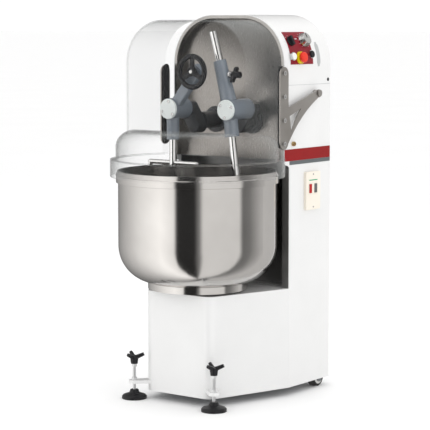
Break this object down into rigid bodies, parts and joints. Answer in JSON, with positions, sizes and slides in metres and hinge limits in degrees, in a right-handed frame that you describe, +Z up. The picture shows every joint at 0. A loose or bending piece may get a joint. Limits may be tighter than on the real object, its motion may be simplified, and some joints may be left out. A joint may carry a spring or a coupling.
{
  "type": "twin-arm dough mixer",
  "caption": "Floor-standing commercial dough mixer with an open-topped turning bowl, two diving arms, a hinged clear guard and side controls.",
  "frame": {"origin": "on the floor under the middle of the overall box", "axes": "+Z up, the bowl and guard face -Y, the controls are on the +X side"},
  "size_m": [0.654, 0.83, 1.44],
  "materials": {
    "white_paint": "smooth semi-gloss powder coat",
    "steel_frame": "dark machinery paint",
    "stainless": "brushed stainless steel",
    "machined_steel": "machined, lightly oiled",
    "dark_casting": "dark grey satin casting",
    "grey_paint": "glossy grey enamel on a casting",
    "pale_cap": "glossy pale cover",
    "chrome": "polished round bar",
    "black_plastic": "moulded black plastic",
    "belt_rubber": "rubber belt",
    "foot_rubber": "moulded foot pad on a zinc-plated spindle",
    "wheel_tread": "black tread on a pale hub",
    "clear_guard": "clear thermoformed plastic",
    "label_red": "plain printed strip, red over grey",
    "control_red": "plain dark red control plate",
    "bezel_chrome": "bright rings, one of them a yellow collar",
    "button_white": "moulded cap",
    "button_black": "moulded cap",
    "estop_red": "moulded mushroom cap",
    "knob_silver": "turned knob",
    "cream_plastic": "moulded housing",
    "key_red": "moulded key",
    "key_black": "moulded key"
  },
  "bodies": {
    "cabinet": {"arm_panel": "stainless", "base_casing": "white_paint", "base_top_plate": "white_paint", "bearings": "steel_frame", "bowl_belt": "belt_rubber", "bowl_motor": "steel_frame", "breaker_box": "cream_plastic", "button_bezels": "bezel_chrome", "cable_gland": "black_plastic", "chassis_frame": "steel_frame", "control_plate": "control_red", "drive_belt": "belt_rubber", "foot_arms": "white_paint", "gearbox_housing": "steel_frame", "hinge_pins": "machined_steel", "hood_front_frame": "stainless", "motor": "steel_frame", "niche_panel": "stainless", "rear_cover": "white_paint", "side_label": "label_red", "side_panel_left": "white_paint", "side_panel_right": "white_paint", "top_hood": "white_paint", "wheel_brackets": "steel_frame"},
    "guard": {"guard_shell": "clear_guard", "guard_bracket_left": "stainless", "guard_bracket_right": "stainless", "guard_fasteners": "black_plastic"},
    "bowl_unit": {"bowl": "stainless", "turntable": "stainless", "bowl_shaft": "machined_steel"},
    "bowl_motor_rotor": {"bowl_motor_pulley": "steel_frame"},
    "right_crank_unit": {"right_crank": "dark_casting", "right_gear": "machined_steel", "driven_pulley": "steel_frame"},
    "left_crank_unit": {"left_crank": "dark_casting", "left_gear": "machined_steel"},
    "idler": {"idler_gear": "machined_steel"},
    "drive_motor_rotor": {"motor_pulley": "steel_frame"},
    "left_arm_unit": {"left_arm": "grey_paint", "left_cap": "pale_cap", "left_tool": "chrome"},
    "right_arm_unit": {"right_arm": "grey_paint", "right_cap": "pale_cap", "right_tool": "chrome"},
    "handwheel_unit": {"handwheel": "black_plastic"},
    "clamp_unit": {"clamp_knob": "black_plastic"},
    "left_foot": {"foot_left": "foot_rubber", "foot_knob_left": "black_plastic"},
    "right_foot": {"foot_right": "foot_rubber", "foot_knob_right": "black_plastic"},
    "left_wheel": {"rear_wheel_left": "wheel_tread"},
    "right_wheel": {"rear_wheel_right": "wheel_tread"},
    "start": {"start_button": "button_white"},
    "stop": {"stop_button": "button_black"},
    "emergency_stop": {"estop_button": "estop_red"},
    "breaker_off": {"breaker_off_key": "key_red"},
    "breaker_on": {"breaker_on_key": "key_black"},
    "timer": {"timer_knob": "knob_silver"},
    "selector": {"selector_knob": "black_plastic"}
  },
  "joints": [
    {"name": "guard_hinge", "type": "hinge", "parent": "cabinet", "child": "guard", "pos_m": [0, 0.3035, 1.143], "axis": [-1, 0, 0], "range_deg": [0, 50]},
    {"name": "bowl_spin", "type": "hinge", "parent": "cabinet", "child": "bowl_unit", "pos_m": [0, -0.0895, 0.443], "axis": [0, 0, 1], "continuous": true},
    {"name": "bowl_motor_spin", "type": "hinge", "parent": "cabinet", "child": "bowl_motor_rotor", "pos_m": [0, 0.2105, 0.24], "axis": [0, 0, 1], "continuous": true},
    {"name": "right_crank_turn", "type": "hinge", "parent": "cabinet", "child": "right_crank_unit", "pos_m": [0.085, 0.2105, 1.04], "axis": [0, 1, 0], "continuous": true},
    {"name": "left_crank_turn", "type": "hinge", "parent": "cabinet", "child": "left_crank_unit", "pos_m": [-0.085, 0.2105, 1.04], "axis": [0, 1, 0], "continuous": true},
    {"name": "idler_turn", "type": "hinge", "parent": "cabinet", "child": "idler", "pos_m": [0, 0.2555, 1.04], "axis": [0, 1, 0], "continuous": true},
    {"name": "drive_motor_spin", "type": "hinge", "parent": "cabinet", "child": "drive_motor_rotor", "pos_m": [0.085, 0.3505, 0.64], "axis": [0, 1, 0], "continuous": true},
    {"name": "left_arm_pivot", "type": "hinge", "parent": "left_crank_unit", "child": "left_arm_unit", "pos_m": [-0.113, -0.0795, 1.088], "axis": [0, 1, 0], "continuous": true},
    {"name": "right_arm_pivot", "type": "hinge", "parent": "right_crank_unit", "child": "right_arm_unit", "pos_m": [0.113, 0.0005, 1.088], "axis": [0, 1, 0], "continuous": true},
    {"name": "handwheel_turn", "type": "hinge", "parent": "left_arm_unit", "child": "handwheel_unit", "pos_m": [0.005, -0.1305, 1.229], "axis": [0, 1, 0], "continuous": true},
    {"name": "clamp_knob_turn", "type": "hinge", "parent": "right_arm_unit", "child": "clamp_unit", "pos_m": [0.128, -0.0335, 1.218], "axis": [1, 0, 0], "range_deg": [-360, 0]},
    {"name": "left_foot_lift", "type": "slide", "parent": "cabinet", "child": "left_foot", "axis": [0, 0, 1], "range_m": [-0.02, 0]},
    {"name": "right_foot_lift", "type": "slide", "parent": "cabinet", "child": "right_foot", "axis": [0, 0, 1], "range_m": [-0.02, 0]},
    {"name": "left_wheel_roll", "type": "hinge", "parent": "cabinet", "child": "left_wheel", "pos_m": [-0.231, 0.3605, 0.035], "axis": [1, 0, 0], "continuous": true},
    {"name": "right_wheel_roll", "type": "hinge", "parent": "cabinet", "child": "right_wheel", "pos_m": [0.231, 0.3605, 0.035], "axis": [1, 0, 0], "continuous": true},
    {"name": "start_press", "type": "slide", "parent": "cabinet", "child": "start", "axis": [-0.9877, 0, -0.1564], "range_m": [0, 0.003], "stiffness_N_per_m": 300},
    {"name": "stop_press", "type": "slide", "parent": "cabinet", "child": "stop", "axis": [-0.9816, 0, -0.1908], "range_m": [0, 0.003], "stiffness_N_per_m": 300},
    {"name": "estop_press", "type": "slide", "parent": "cabinet", "child": "emergency_stop", "axis": [-0.9914, 0, -0.1305], "range_m": [0, 0.004]},
    {"name": "breaker_off_press", "type": "slide", "parent": "cabinet", "child": "breaker_off", "axis": [-1, 0, 0], "range_m": [0, 0.002], "stiffness_N_per_m": 300},
    {"name": "breaker_on_press", "type": "slide", "parent": "cabinet", "child": "breaker_on", "axis": [-1, 0, 0], "range_m": [0, 0.002], "stiffness_N_per_m": 300},
    {"name": "timer_turn", "type": "hinge", "parent": "cabinet", "child": "timer", "pos_m": [0.23823, 0.2535, 1.34132], "axis": [0.8829, 0, 0.4695], "range_deg": [0, 300]},
    {"name": "selector_turn", "type": "hinge", "parent": "cabinet", "child": "selector", "pos_m": [0.23973, 0.1625, 1.33844], "axis": [0.891, 0, 0.454], "range_deg": [-45, 45]}
  ],
  "couplings": [
    {"joint": "left_crank_turn", "follows": "right_crank_turn", "ratio": 1},
    {"joint": "idler_turn", "follows": "right_crank_turn", "ratio": -1.8333},
    {"joint": "drive_motor_spin", "follows": "right_crank_turn", "ratio": 4},
    {"joint": "left_arm_pivot", "follows": "right_crank_turn", "ratio": -1},
    {"joint": "right_arm_pivot", "follows": "right_crank_turn", "ratio": -1},
    {"joint": "bowl_motor_spin", "follows": "bowl_spin", "ratio": 4}
  ]
}
